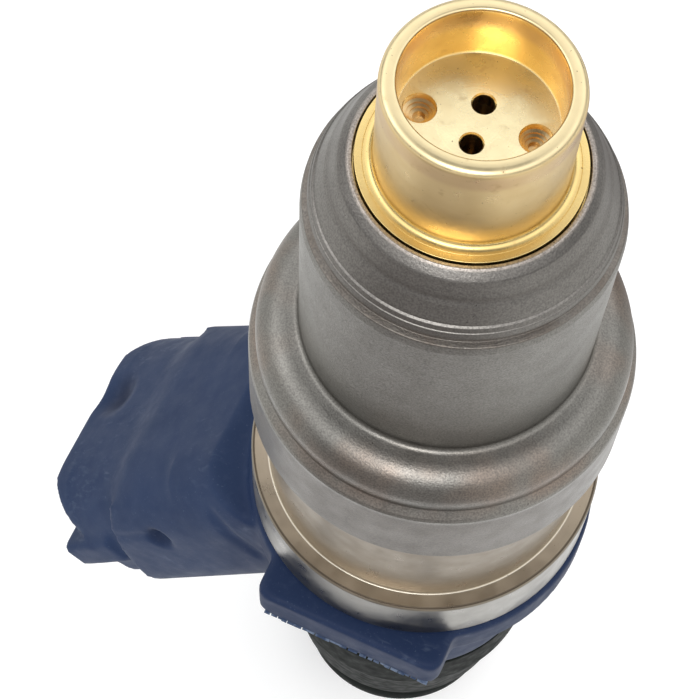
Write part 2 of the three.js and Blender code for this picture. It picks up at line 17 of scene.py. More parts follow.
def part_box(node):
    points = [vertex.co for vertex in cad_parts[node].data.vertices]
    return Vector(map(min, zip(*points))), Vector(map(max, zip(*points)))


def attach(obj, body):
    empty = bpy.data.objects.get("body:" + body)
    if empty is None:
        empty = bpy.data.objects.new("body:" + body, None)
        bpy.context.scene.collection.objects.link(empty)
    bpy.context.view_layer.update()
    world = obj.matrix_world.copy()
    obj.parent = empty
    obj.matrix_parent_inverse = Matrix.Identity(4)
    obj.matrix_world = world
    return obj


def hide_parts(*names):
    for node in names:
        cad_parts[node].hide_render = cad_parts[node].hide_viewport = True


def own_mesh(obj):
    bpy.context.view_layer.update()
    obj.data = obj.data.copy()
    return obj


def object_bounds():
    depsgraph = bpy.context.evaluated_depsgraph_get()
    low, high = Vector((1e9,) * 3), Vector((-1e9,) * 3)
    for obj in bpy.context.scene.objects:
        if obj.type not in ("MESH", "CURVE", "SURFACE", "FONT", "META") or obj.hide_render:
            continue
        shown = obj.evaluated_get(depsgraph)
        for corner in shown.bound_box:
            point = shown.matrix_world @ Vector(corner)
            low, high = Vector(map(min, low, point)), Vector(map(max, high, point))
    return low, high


MM = 0.001
SEED = 7

# sizes in millimetres, but for the last two
CUP_WALL_RADIUS = 4.7
CUP_FLOOR = 4.1  # above the cup's lowest point
CUP_FLANGE = 1.05  # above the cup's lowest point
NECK_RADIUS = 8.08
LEDGE = 4.5  # above the magnet housing's lowest point
COLLAR_RADIUS = 11.2
COLLAR_BOTTOM = 7.8  # below the moulding's top
COLLAR_TOP = 4.6  # below the moulding's top
HOLE_PATTERN_TURN = 8  # degrees
SPRING_TURNS = 8

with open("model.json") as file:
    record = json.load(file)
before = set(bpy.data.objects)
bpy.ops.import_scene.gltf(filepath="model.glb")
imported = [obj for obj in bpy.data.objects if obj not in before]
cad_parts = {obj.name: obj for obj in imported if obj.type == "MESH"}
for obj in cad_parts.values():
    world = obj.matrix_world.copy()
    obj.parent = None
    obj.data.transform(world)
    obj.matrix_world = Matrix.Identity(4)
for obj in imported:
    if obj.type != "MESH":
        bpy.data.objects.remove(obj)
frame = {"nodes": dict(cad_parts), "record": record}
size_at_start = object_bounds()


# ------------------------------------------------------------------ mesh helpers


def reach(node):
    """Outer radius, lowest and highest point of a turned CAD node, in millimetres."""
    low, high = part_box(node)
    return (high.x - low.x) / 2 / MM, low.z / MM, high.z / MM


def arc(radius, height, size, start, end, steps=10):
    """Points on an arc of a profile, from one angle to another in degrees."""
    angles = [math.radians(start + (end - start) * i / steps) for i in range(steps + 1)]
    return [(radius + size * math.cos(a), height + size * math.sin(a)) for a in angles]


def rounded(points, steps=5):
    """A profile whose corners are filleted: a point's third number is its fillet radius."""
    path = []
    for i, point in enumerate(points):
        corner = Vector(point[:2])
        size = point[2] if len(point) > 2 else 0
        if not size:
            path.append(tuple(corner))
            continue
        before = (Vector(points[i - 1][:2]) - corner).normalized()
        after = (Vector(points[(i + 1) % len(points)][:2]) - corner).normalized()
        half = before.angle(after) / 2
        middle = corner + (before + after).normalized() * size / math.sin(half)
        start = corner + before * size / math.tan(half) - middle
        end = corner + after * size / math.tan(half) - middle
        for step in range(steps + 1):
            spoke = start.slerp(end, step / steps).normalized() * size
            path.append(tuple(middle + spoke))
    return path


def flat_walls(thing):
    """Keeps the shading of large faces flat beside small fillets."""
    weigh = thing.modifiers.new("flat_walls", "WEIGHTED_NORMAL")
    weigh.mode = "FACE_AREA"
    weigh.weight = 90
    weigh.keep_sharp = True


def piece(name, mesh):
    thing = bpy.data.objects.new(name, mesh)
    bpy.context.scene.collection.objects.link(thing)
    return thing


def finish_mesh(mesh, sharp=32):
    """Faces out, smooth shading, and hard edges where the surface turns sharply."""
    work = bmesh.new()
    work.from_mesh(mesh)
    bmesh.ops.recalc_face_normals(work, faces=work.faces)
    work.to_mesh(mesh)
    work.free()
    mesh.shade_smooth()
    if sharp:
        mesh.set_sharp_from_angle(angle=math.radians(sharp))


def lathe(name, profile, segments=160, centre=(0, 0), sharp=32):
    """A solid turned about a vertical line. A profile that starts on the axis also ends there."""
    work = bmesh.new()
    columns = []
    for radius, height in profile:
        if radius < 1e-6:
            columns.append([work.verts.new((centre[0] * MM, centre[1] * MM, height * MM))])
            continue
        ring = []
        for i in range(segments):
            turn = 2 * math.pi * i / segments
            x = centre[0] + radius * math.cos(turn)
            y = centre[1] + radius * math.sin(turn)
            ring.append(work.verts.new((x * MM, y * MM, height * MM)))
        columns.append(ring)
    pairs = list(zip(columns, columns[1:]))
    if profile[0][0] > 1e-6:
        pairs.append((columns[-1], columns[0]))
    for lower, upper in pairs:
        for i in range(segments):
            j = (i + 1) % segments
            corners = [lower[i % len(lower)], lower[j % len(lower)]]
            corners += [upper[j % len(upper)], upper[i % len(upper)]]
            corners = list(dict.fromkeys(corners))
            if len(corners) > 2:
                work.faces.new(corners)
    mesh = bpy.data.meshes.new(name)
    work.to_mesh(mesh)
    work.free()
    finish_mesh(mesh, sharp)
    turned = piece(name, mesh)
    if sharp:
        flat_walls(turned)
    return turned


def outline(width, height, corner, steps=10):
    """A rectangle with rounded corners, as points about its middle."""
    points = []
    for quarter, (sx, sy) in enumerate([(1, 1), (-1, 1), (-1, -1), (1, -1)]):
        x = sx * (width / 2 - corner)
        y = sy * (height / 2 - corner)
        points += arc(x, y, corner, 90 * quarter, 90 * quarter + 90, steps)
    return points


def prism(name, loops, place):
    """A solid through a stack of outlines, each given with its height, set in a frame."""
    work = bmesh.new()
    rings = [[work.verts.new(place @ Vector((x, y, z))) for x, y in points] for z, points in loops]
    count = len(rings[0])
    for lower, upper in zip(rings, rings[1:]):
        for i in range(count):
            j = (i + 1) % count
            work.faces.new((lower[i], lower[j], upper[j], upper[i]))
    work.faces.new(rings[0])
    work.faces.new(rings[-1])
    mesh = bpy.data.meshes.new(name)
    work.to_mesh(mesh)
    work.free()
    finish_mesh(mesh)
    return piece(name, mesh)


def settle(thing):
    """Turns an object's modifiers into its mesh."""
    graph = bpy.context.evaluated_depsgraph_get()
    mesh = bpy.data.meshes.new_from_object(thing.evaluated_get(graph))
    thing.modifiers.clear()
    thing.data = mesh


def combine(thing, operation, *others):
    """Joins other solids to an object, cuts them from it, or keeps what they share."""
    thing.modifiers.clear()
    for other in others:
        other.modifiers.clear()
        step = thing.modifiers.new("step", "BOOLEAN")
        step.operation = operation
        step.solver = "EXACT"
        step.object = other
        settle(thing)
        bpy.data.objects.remove(other)


def melt(thing, inside, passes):
    """Smooths only the points that a test picks out."""
    group = thing.vertex_groups.new(name="melt")
    group.add([v.index for v in thing.data.vertices if inside(v.co)], 1.0, "REPLACE")
    smooth = thing.modifiers.new("smooth", "SMOOTH")
    smooth.factor = 0.5
    smooth.iterations = passes
    smooth.vertex_group = group.name
    settle(thing)
    thing.vertex_groups.clear()


def press(mesh, start, end, radius, depth):
    """Presses a soft groove or dimple into a mesh, along a line between two points."""
    count = len(mesh.vertices)
    spots = np.empty(count * 3)
    mesh.vertices.foreach_get("co", spots)
    spots = spots.reshape(-1, 3)
    normals = np.array([v.normal for v in mesh.vertices])
    a, b = np.array(start), np.array(end)
    line = b - a
    along = np.clip((spots - a) @ line / max(line @ line, 1e-12), 0, 1)
    distance = np.linalg.norm(spots - a - along[:, None] * line, axis=1)
    share = np.clip(1 - distance / (radius * MM), 0, 1)
    share = share * share * (3 - 2 * share)
    spots -= normals * (share * depth * MM)[:, None]
    mesh.vertices.foreach_set("co", spots.ravel())
    mesh.update()


def sweep(name, points, radius, sides=12):
    """A round wire along a path of points, with closed ends."""
    work = bmesh.new()
    rings = []
    for i, point in enumerate(points):
        ahead = points[min(i + 1, len(points) - 1)]
        behind = points[max(i - 1, 0)]
        tangent = (ahead - behind).normalized()
        side = tangent.cross(Vector((0, 0, 1))).normalized()
        up = side.cross(tangent)
        turns = [2 * math.pi * k / sides for k in range(sides)]
        spokes = [side * math.cos(t) + up * math.sin(t) for t in turns]
        rings.append([work.verts.new((point + spoke * radius) * MM) for spoke in spokes])
    for lower, upper in zip(rings, rings[1:]):
        for k in range(sides):
            m = (k + 1) % sides
            work.faces.new((lower[k], lower[m], upper[m], upper[k]))
    work.faces.new(rings[0])
    work.faces.new(rings[-1])
    mesh = bpy.data.meshes.new(name)
    work.to_mesh(mesh)
    work.free()
    finish_mesh(mesh, 50)
    return piece(name, mesh)


# ------------------------------------------------------------------ the connector's own frame

FLARE = 0.0085  # share by which the connector widens for each millimetre outwards
mouth_record = next(m for m in frame["record"]["mounts"] if m["name"] == "connector_mouth")
axis = Vector(mouth_record["axis"])
upward = Vector((axis.z, 0, -axis.x))
across = Vector((0, -1, 0))
mouth = Vector(mouth_record["pos_m"]) - upward * 4.6 * MM
mouth.y = 0
connector = Matrix((across, upward, axis)).transposed().to_4x4()
connector = Matrix.Translation(mouth) @ connector @ Matrix.Scale(MM, 4)


def on_connector(x, y, z):
    """A point on the connector: across it, up from its middle, and out from its mouth."""
    return connector @ Vector((x, y, z))


latch_dish = (-1.7, 5.4, -1.9), (-1.7, 5.4, -2.8)
side_dimple = (8.74, 2.1, -12.5), (8.74, 2.0, -12.7)


# ------------------------------------------------------------------ materials


class Finish:
    """A material built from layers of noise. Texture sizes are in millimetres."""

    def __init__(self, name, metallic, specular=0.5):
        self.material = bpy.data.materials.new(name)
        self.material.use_nodes = True
        self.tree = self.material.node_tree
        self.shader = self.tree.nodes["Principled BSDF"]
        self.shader.inputs["Metallic"].default_value = metallic
        self.shader.inputs["Specular IOR Level"].default_value = specular
        place = self.node("ShaderNodeTexCoord").outputs["Object"]
        self.place = self.vector("SCALE", place, scale=1000)
        parts = self.node("ShaderNodeSeparateXYZ", {"Vector": self.place})
        self.height = parts.outputs["Z"]
        flat = self.vector("MULTIPLY", self.place, (1, 1, 0))
        self.radius = self.node("ShaderNodeVectorMath", {0: flat}, operation="LENGTH").outputs["Value"]
        rings = self.node("ShaderNodeCombineXYZ", {"X": self.radius, "Y": self.height})
        self.rings = rings.outputs["Vector"]
        self.bumps = None

    def node(self, kind, inputs=None, **settings):
        made = self.tree.nodes.new(kind)
        for key, value in settings.items():
            setattr(made, key, value)
        for key, value in (inputs or {}).items():
            self.feed(made.inputs[key], value)
        return made

    def feed(self, socket, value):
        if isinstance(value, bpy.types.NodeSocket):
            self.tree.links.new(value, socket)
        else:
            socket.default_value = value

    def vector(self, operation, first, second=None, scale=None):
        made = self.node("ShaderNodeVectorMath", {0: first}, operation=operation)
        if second is not None:
            self.feed(made.inputs[1], second)
        if scale is not None:
            made.inputs["Scale"].default_value = scale
        return made.outputs["Vector"]

    def noise(self, size, detail=3, stretch=None, place=None, distortion=0.0):
        """Noise whose features are about size millimetres across, from 0 to 1."""
        where = place or self.place
        if stretch:
            where = self.vector("MULTIPLY", where, stretch)
        inputs = {"Vector": where, "Scale": 1 / size, "Detail": detail, "Distortion": distortion}
        return self.node("ShaderNodeTexNoise", inputs).outputs["Fac"]

    def turned(self, size, detail=2):
        """Noise that is the same all the way round: the marks of a lathe tool."""
        return self.noise(size, detail, place=self.rings)

    def span(self, value, low, high, to_low=0.0, to_high=1.0, smooth=True):
        """Maps low..high to another range, and holds it beyond."""
        inputs = {"Value": value, "From Min": low, "From Max": high, "To Min": to_low, "To Max": to_high}
        kind = "SMOOTHSTEP" if smooth else "LINEAR"
        return self.node("ShaderNodeMapRange", inputs, interpolation_type=kind).outputs["Result"]

    def maths(self, operation, first, second):
        return self.node("ShaderNodeMath", {0: first, 1: second}, operation=operation).outputs["Value"]

    def wave(self, value, rate):
        """A sine wave along a value."""
        inputs = {0: self.maths("MULTIPLY", value, rate)}
        return self.node("ShaderNodeMath", inputs, operation="SINE").outputs["Value"]

    def band(self, value, low, high, edge):
        """One between low and high, falling to nothing over edge on either side."""
        rise = self.span(value, low - edge, low)
        fall = self.span(value, high, high + edge, 1.0, 0.0)
        return self.maths("MULTIPLY", rise, fall)

    def mix(self, first, second, share):
        made = self.node("ShaderNodeMix", data_type="RGBA")
        self.feed(made.inputs["Factor"], share)
        for index, value in ((6, first), (7, second)):
            self.feed(made.inputs[index], value if isinstance(value, bpy.types.NodeSocket) else (*value, 1))
        return made.outputs[2]

    def bump(self, height, distance, strength=1.0):
        """Adds a relief of that height in millimetres to the ones before it."""
        inputs = {"Height": height, "Distance": distance * MM, "Strength": strength}
        if self.bumps:
            inputs["Normal"] = self.bumps
        self.bumps = self.node("ShaderNodeBump", inputs).outputs["Normal"]

    def done(self, colour, roughness):
        self.feed(self.shader.inputs["Base Color"], colour)
        self.feed(self.shader.inputs["Roughness"], roughness)
        if self.bumps:
            self.feed(self.shader.inputs["Normal"], self.bumps)
        return self.material


def cup_brass():
    """Turned brass: warm inside, paler outside, with dark specks and a faint stain below the rim; painted
    shade at the wall's foot and in the pockets and jets, and a painted highlight on the rim and on the
    floor.
    """
    f = Finish("cup_brass", 1.0)
    _, low, high = reach("spray_cup")
    floor = low + CUP_FLOOR
    warm = f.mix((0.61, 0.35, 0.07), (0.7, 0.44, 0.12), f.noise(1.6, 4))
    pale = f.mix((0.68, 0.5, 0.24), (0.78, 0.6, 0.32), f.noise(2.2, 4, (1, 1, 2.5)))
    # painted shade: the outer wall is darkened towards its foot, where it meets the flange
    foot = f.band(f.height, low + 1.3, low + 2.2, 1.4)
    pale = f.mix(pale, (0.5, 0.35, 0.16), f.maths("MULTIPLY", foot, 0.4))
    inside = f.span(f.radius, 3.8, 4.0, 1.0, 0.0)
    flange = f.span(f.height, low + 1.25, low + 1.6, 1.0, 0.0)
    colour = f.mix(f.mix(pale, (0.8, 0.6, 0.25), flange), warm, inside)
    # painted highlight: the cup's floor is painted pale cream in place of its bright reflection
    floor_highlight = f.maths("MULTIPLY", f.span(f.height, floor + 0.02, floor + 0.2, 1.0, 0.0), inside)
    colour = f.mix(colour, (0.94, 0.84, 0.54), f.maths("MULTIPLY", floor_highlight, 0.85))
    # painted highlight: a pale band along the top of the rim
    rim = f.span(f.height, high - 0.3, high - 0.05)
    colour = f.mix(colour, (0.84, 0.72, 0.44), f.maths("MULTIPLY", rim, 0.8))
    # painted shade: the walls of the pockets and jets below the floor are painted dark orange-brown
    below = f.span(f.height, floor - 0.5, floor - 0.1, 0.6, 0.0)
    colour = f.mix(colour, (0.54, 0.28, 0.08), f.maths("MULTIPLY", below, inside))
    stain = f.maths("MULTIPLY", f.band(f.height, high - 1.1, high - 0.65, 0.5), f.noise(2.5, 3))
    colour = f.mix(colour, (0.5, 0.3, 0.19), f.maths("MULTIPLY", stain, 0.7))
    grime = f.span(f.noise(0.55, 5), 0.6, 0.8)
    colour = f.mix(colour, (0.36, 0.2, 0.07), f.maths("MULTIPLY", grime, 0.3))
    specks = f.span(f.noise(0.16, 2), 0.73, 0.77)
    colour = f.mix(colour, (0.13, 0.06, 0.03), f.maths("MULTIPLY", specks, 0.8))
    f.bump(f.turned(0.09), 0.004, 0.6)
    f.bump(f.noise(0.7, 4), 0.012, 0.5)
    f.bump(f.noise(0.12, 2), 0.003, 0.5)
    roughness = f.span(f.noise(1.1, 4), 0.3, 0.75, 0.26, 0.42, smooth=False)
    burnished = f.maths("MULTIPLY", f.maths("MAXIMUM", inside, flange), 0.06)
    roughness = f.maths("SUBTRACT", roughness, burnished)
    return f.done(colour, roughness)


def satin_steel():
    """Bead-blasted neck, darker satin cone, and turned shoulder with brownish tints and pits; painted shade
    at the neck's foot, and a painted highlight along the holder's top edge.
    """
    f = Finish("satin_steel", 1.0)
    _, low, high = reach("nozzle_holder")
    base = f.mix((0.245, 0.237, 0.217), (0.33, 0.318, 0.296), f.noise(3.2, 5))
    cone = f.span(f.height, high - 4.1, high - 3.5)
    colour = f.mix(base, (0.235, 0.22, 0.205), f.maths("MULTIPLY", cone, 0.7))
    tooling = f.maths("MULTIPLY", f.span(f.turned(0.5, 3), 0.45, 0.7), cone)
    colour = f.mix(colour, (0.12, 0.105, 0.095), f.maths("MULTIPLY", tooling, 0.45))
    # painted shade: the neck is darkened towards its foot, where it meets the shoulder
    foot = f.band(f.height, low + 8.8, low + 10.0, 2.0)
    colour = f.mix(colour, (0.14, 0.137, 0.125), f.maths("MULTIPLY", foot, 0.4))
    blotch = f.span(f.noise(4.5, 2), 0.4, 0.65)
    blush = f.maths("MULTIPLY", f.band(f.height, low + 6.0, low + 8.4, 0.8), blotch)
    colour = f.mix(colour, (0.3, 0.215, 0.165), f.maths("MULTIPLY", blush, 0.6))
    undercut = f.maths("MULTIPLY", f.band(f.height, high - 4.05, high - 3.75, 0.15), f.noise(1.2, 4))
    colour = f.mix(colour, (0.12, 0.08, 0.055), f.maths("MULTIPLY", undercut, 0.8))
    # painted highlight: a bright thin line along the holder's top edge
    lip_highlight = f.span(f.height, high - 0.14, high - 0.05)
    colour = f.mix(colour, (0.55, 0.49, 0.44), f.maths("MULTIPLY", lip_highlight, 0.8))
    wall = f.span(f.height, low + 4.9, low + 5.2, 1.0, 0.0)
    colour = f.mix(colour, (0.165, 0.148, 0.13), f.maths("MULTIPLY", wall, 0.85))
    pits = f.span(f.noise(0.22, 2), 0.75, 0.79)
    colour = f.mix(colour, (0.06, 0.05, 0.045), f.maths("MULTIPLY", pits, 0.75))
    grain = f.noise(0.1, 3)
    colour = f.mix(colour, (0.1, 0.095, 0.09), f.span(grain, 0.3, 0.75, 0.0, 0.6))
    neck = f.band(f.height, low + 9.6, high - 4.2, 0.4)
    f.bump(grain, 0.032, f.span(neck, 0.0, 1.0, 0.4, 0.9))
    f.bump(f.turned(0.16), 0.008, 0.5)
    f.bump(f.noise(2.4, 3), 0.03, 0.35)
    roughness = f.span(f.noise(1.4, 4), 0.3, 0.7, 0.29, 0.4, smooth=False)
    roughness = f.maths("ADD", roughness, f.maths("MULTIPLY", neck, 0.08))
    return f.done(colour, roughness)


def plated_steel():
    """Plated housing: brownish gold in the recess and on the ledge, silver round the flange; the ledge's
    top is painted lighter as a painted highlight, with a painted glint along its inner corner.
    """
    f = Finish("plated_steel", 1.0)
    radius, low, _ = reach("magnet_housing")
    ledge = low + LEDGE
    gold = f.mix((0.225, 0.19, 0.145), (0.31, 0.268, 0.215), f.noise(2.6, 4, (1, 1, 3)))
    silver = f.mix((0.26, 0.25, 0.225), (0.34, 0.33, 0.31), f.noise(3.5, 3))
    rim = f.span(f.radius, radius - 0.14, radius - 0.06)
    band = f.maths("MULTIPLY", rim, f.span(f.height, ledge - 0.2, ledge - 0.05, 1.0, 0.0))
    colour = f.mix(gold, silver, band)
    patch = f.maths("MULTIPLY", f.span(f.noise(5.0, 1), 0.56, 0.64), band)
    colour = f.mix(colour, (0.15, 0.142, 0.135), f.maths("MULTIPLY", patch, 0.7))
    # painted highlight: the upward face of the ledge is painted lighter
    level = f.span(f.height, ledge + 0.03, ledge + 0.1, 1.0, 0.0)
    ledge_highlight = f.maths("MULTIPLY", level, f.span(f.radius, 9.9, 10.0))
    ledge_highlight = f.maths("MULTIPLY", ledge_highlight, f.span(f.radius, radius - 0.2, radius - 0.1, 1.0, 0.0))
    colour = f.mix(colour, (0.6, 0.5, 0.38), f.maths("MULTIPLY", ledge_highlight, 0.7))
    # painted highlight: a bright glint painted along the inner corner of the ledge
    foot = f.band(f.height, ledge, ledge + 0.1, 0.05)
    corner = f.maths("MULTIPLY", foot, f.span(f.radius, 9.9, 10.0, 1.0, 0.0))
    colour = f.mix(colour, (0.8, 0.74, 0.62), f.maths("MULTIPLY", corner, 0.8))
    line = f.band(f.radius, radius - 0.2, radius - 0.12, 0.05)
    outer = f.maths("MULTIPLY", line, f.span(f.height, low + 4.2, low + 4.4))
    colour = f.mix(colour, (0.1, 0.08, 0.06), f.maths("MULTIPLY", outer, 0.8))
    specks = f.span(f.noise(0.2, 2), 0.72, 0.77)
    colour = f.mix(colour, (0.12, 0.09, 0.06), f.maths("MULTIPLY", specks, 0.6))
    f.bump(f.turned(0.12), 0.007, 0.6)
    f.bump(f.noise(0.4, 3), 0.008, 0.5)
    return f.done(colour, f.span(f.noise(1.2, 4), 0.3, 0.7, 0.26, 0.4, smooth=False))


def plain_metal(name, dark, light, rough=(0.25, 0.4), stain=(0.2, 0.16, 0.12)):
    """Machined metal with tool marks, small stains and uneven gloss."""
    f = Finish(name, 1.0)
    colour = f.mix(dark, light, f.noise(1.8, 4))
    spots = f.span(f.noise(0.5, 4), 0.62, 0.78)
    colour = f.mix(colour, stain, f.maths("MULTIPLY", spots, 0.35))
    f.bump(f.turned(0.08), 0.004, 0.6)
    f.bump(f.noise(0.3, 3), 0.005, 0.5)
    return f.done(colour, f.span(f.noise(0.9, 4), 0.3, 0.7, *rough, smooth=False))


def blue_plastic():
    """Glass-filled nylon: satin, faintly mottled, with soft pale scuffs and dust in the grain; the body and
    lugs are painted darker, and the latch dish and side dimples painted dark, as painted shade.
    """
    f = Finish("blue_plastic", 0.0, 0.17)
    colour = f.mix((0.01, 0.023, 0.064), (0.019, 0.036, 0.088), f.noise(4.0, 5))
    axes = f.node("ShaderNodeSeparateXYZ", {"Vector": f.place})
    # painted shade: the body and lugs, away from the connector, are painted darker
    body_shade = f.span(axes.outputs["X"], -12.0, -8.0)
    colour = f.mix(colour, (0.008, 0.018, 0.055), f.maths("MULTIPLY", body_shade, 0.6))
    # painted shade: the latch dish and the side dimples are painted near black, darkest at their middles
    (x, y, z), _ = side_dimple
    for spot, size in ((latch_dish[1], 2.4), ((x, y, z), 1.35), ((-x, y, z), 1.35)):
        away = f.vector("SUBTRACT", f.place, tuple(on_connector(*spot) / MM))
        distance = f.node("ShaderNodeVectorMath", {0: away}, operation="LENGTH").outputs["Value"]
        colour = f.mix(colour, (0.003, 0.008, 0.03), f.span(distance, 0.2 * size, size, 0.85, 0.0))
    mottle = f.noise(0.7, 4)
    colour = f.mix(colour, (0.034, 0.05, 0.1), f.span(mottle, 0.5, 0.8, 0.0, 0.3))
    zone = f.span(f.noise(5.0, 2), 0.5, 0.66)
    scuffs = f.span(f.noise(0.6, 5, (0.5, 1.4, 0.7), distortion=0.5), 0.52, 0.8)
    colour = f.mix(colour, (0.12, 0.15, 0.21), f.maths("MULTIPLY", f.maths("MULTIPLY", scuffs, zone), 0.3))
    fibres = f.span(f.noise(0.13, 2), 0.66, 0.75)
    colour = f.mix(colour, (0.12, 0.15, 0.22), f.maths("MULTIPLY", fibres, 0.25))
    f.bump(f.noise(0.12, 3), 0.012, 0.5)
    f.bump(mottle, 0.014, 0.4)
    f.bump(f.noise(3.0, 2), 0.02, 0.4)
    return f.done(colour, f.span(f.noise(1.3, 4), 0.3, 0.7, 0.48, 0.62, smooth=False))


def flash_plastic():
    """The bruised, whitened edge of the moulding."""
    f = Finish("bruised_plastic", 0.0, 0.4)
    colour = f.mix((0.03, 0.055, 0.12), (0.16, 0.21, 0.3), f.span(f.noise(0.5, 4), 0.38, 0.66))
    f.bump(f.noise(0.15, 3), 0.03, 0.7)
    return f.done(colour, f.span(f.noise(0.6, 3), 0.3, 0.7, 0.5, 0.75, smooth=False))


def rubber(name, dark, light):
    """Moulded rubber with a dusty bloom."""
    f = Finish(name, 0.0, 0.05)
    colour = f.mix(dark, light, f.noise(1.5, 5))
    dust = f.span(f.noise(0.2, 3), 0.62, 0.75)
    colour = f.mix(colour, (0.05, 0.05, 0.045), f.maths("MULTIPLY", dust, 0.2))
    f.bump(f.noise(0.18, 3), 0.014, 0.6)
    f.bump(f.noise(1.4, 2), 0.04, 0.4)
    return f.done(colour, f.span(f.noise(0.8, 4), 0.3, 0.7, 0.45, 0.7, smooth=False))


def plain_plastic(name, dark, light):
    """Unfilled plastic with flow marks."""
    f = Finish(name, 0.0, 0.45)
    colour = f.mix(dark, light, f.noise(1.2, 4, (1, 1, 0.3)))
    f.bump(f.noise(0.25, 3), 0.01, 0.5)
    return f.done(colour, f.span(f.noise(0.7, 4), 0.3, 0.7, 0.35, 0.55, smooth=False))


def woven_mesh():
    """Fine wire gauze: crossed wires round a sleeve."""
    f = Finish("woven_mesh", 1.0)
    up = f.wave(f.height, 40.0)
    axes = f.node("ShaderNodeSeparateXYZ", {"Vector": f.place})
    angle = f.maths("ARCTAN2", axes.outputs["Y"], axes.outputs["X"])
    around = f.wave(angle, 48.0)
    weave = f.maths("MAXIMUM", up, around)
    colour = f.mix((0.06, 0.06, 0.06), (0.62, 0.6, 0.56), f.span(weave, -0.1, 0.6))
    f.bump(weave, 0.03, 0.8)
    return f.done(colour, f.span(f.noise(0.5), 0.3, 0.7, 0.3, 0.5, smooth=False))


def copper_wire():
    """Enamelled copper, a little uneven in colour from turn to turn."""
    f = Finish("copper_wire", 1.0)
    colour = f.mix((0.5, 0.17, 0.07), (0.7, 0.3, 0.14), f.noise(0.6, 3, place=f.rings))
    colour = f.mix(colour, (0.24, 0.07, 0.03), f.span(f.noise(0.9, 4), 0.55, 0.8, 0.0, 0.5))
    f.bump(f.noise(0.3, 3), 0.01, 0.5)
    return f.done(colour, f.span(f.noise(0.8), 0.3, 0.7, 0.25, 0.42, smooth=False))


FINISHES = {
    "brass": plain_metal("brass", (0.72, 0.48, 0.2), (0.85, 0.62, 0.3)),
    "satin_steel": satin_steel(),
    "bright_steel": plain_metal("bright_steel", (0.55, 0.55, 0.55), (0.7, 0.7, 0.7)),
    "magnet_steel": plain_metal("magnet_steel", (0.42, 0.41, 0.4), (0.55, 0.54, 0.52), (0.3, 0.45)),
    "plated_steel": plated_steel(),
    "natural_plastic": plain_plastic("natural_plastic", (0.5, 0.46, 0.36), (0.66, 0.62, 0.52)),
    "copper": copper_wire(),
    "brown_rubber": rubber("brown_rubber", (0.09, 0.035, 0.018), (0.16, 0.07, 0.04)),
    "blue_plastic": blue_plastic(),
    "tinned_brass": plain_metal("tinned_brass", (0.58, 0.57, 0.53), (0.74, 0.73, 0.69)),
    "black_rubber": rubber("black_rubber", (0.004, 0.005, 0.005), (0.013, 0.016, 0.014)),
}


def dress(thing, body, slot, nodes=(), material=None):
    """Gives a piece its material, the slot's finish unless another is given, and its body, and lets it
    stand for its CAD nodes.
    """
    thing.data.materials.clear()
    thing.data.materials.append(material or FINISHES[slot])
    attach(thing, body)
    if nodes:
        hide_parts(*nodes)
    return thing


# ------------------------------------------------------------------ nozzle end


def build_spray_cup():
    foot, low, high = reach("spray_cup")
    wall = CUP_WALL_RADIUS
    floor = low + CUP_FLOOR
    flange = low + CUP_FLANGE
    cup = lathe(
        "spray_cup_turned",
        rounded(
            [
                (0, low + 1.2),
                (1.9, low + 1.2),
                (1.9, low),
                (foot, low),
                (foot, low + 0.35, 0.05),
                (5.56, low + 0.35),
                (5.56, flange, 0.04),
                (5.2, flange),
                (5.185, flange - 0.015),
                (5.17, flange),
                (wall, flange, 0.38),
                (wall, high, 0.4),
                (3.88, high, 0.16),
                (3.84, floor, 0.03),
                (0, floor),
            ]
        ),
        segments=192,
    )
    turn = math.radians(HOLE_PATTERN_TURN)
    tools = []
    for side in (-1, 1):
        jet = (-side * 1.1 * math.sin(turn), side * 1.1 * math.cos(turn))
        bore = [
            (0, low - 1),
            (0.53, low - 1),
            (0.53, floor - 0.08),
            (0.62, floor + 0.03),
            (0.62, floor + 1),
            (0, floor + 1),
        ]
        tools.append(lathe("jet_tool", bore, 48, jet))
        pocket = (side * 2.75 * math.cos(turn), side * 2.75 * math.sin(turn))
        steps = [
            (0, floor - 0.95),
            (0.3, floor - 0.95),
            (0.3, floor - 0.75),
            (0.47, floor - 0.72),
            (0.47, floor - 0.6),
            (0.62, floor - 0.56),
            (0.62, floor - 0.45),
            (0.78, floor - 0.4),
            (0.78, floor - 0.04),
            (0.83, floor + 0.03),
            (0.83, floor + 1),
            (0, floor + 1),
        ]
        tools.append(lathe("pocket_tool", steps, 48, pocket))
    combine(cup, "DIFFERENCE", *tools)
    finish_mesh(cup.data, 30)
    flat_walls(cup)
    dress(cup, "injector_body", "brass", ["spray_cup"], cup_brass())


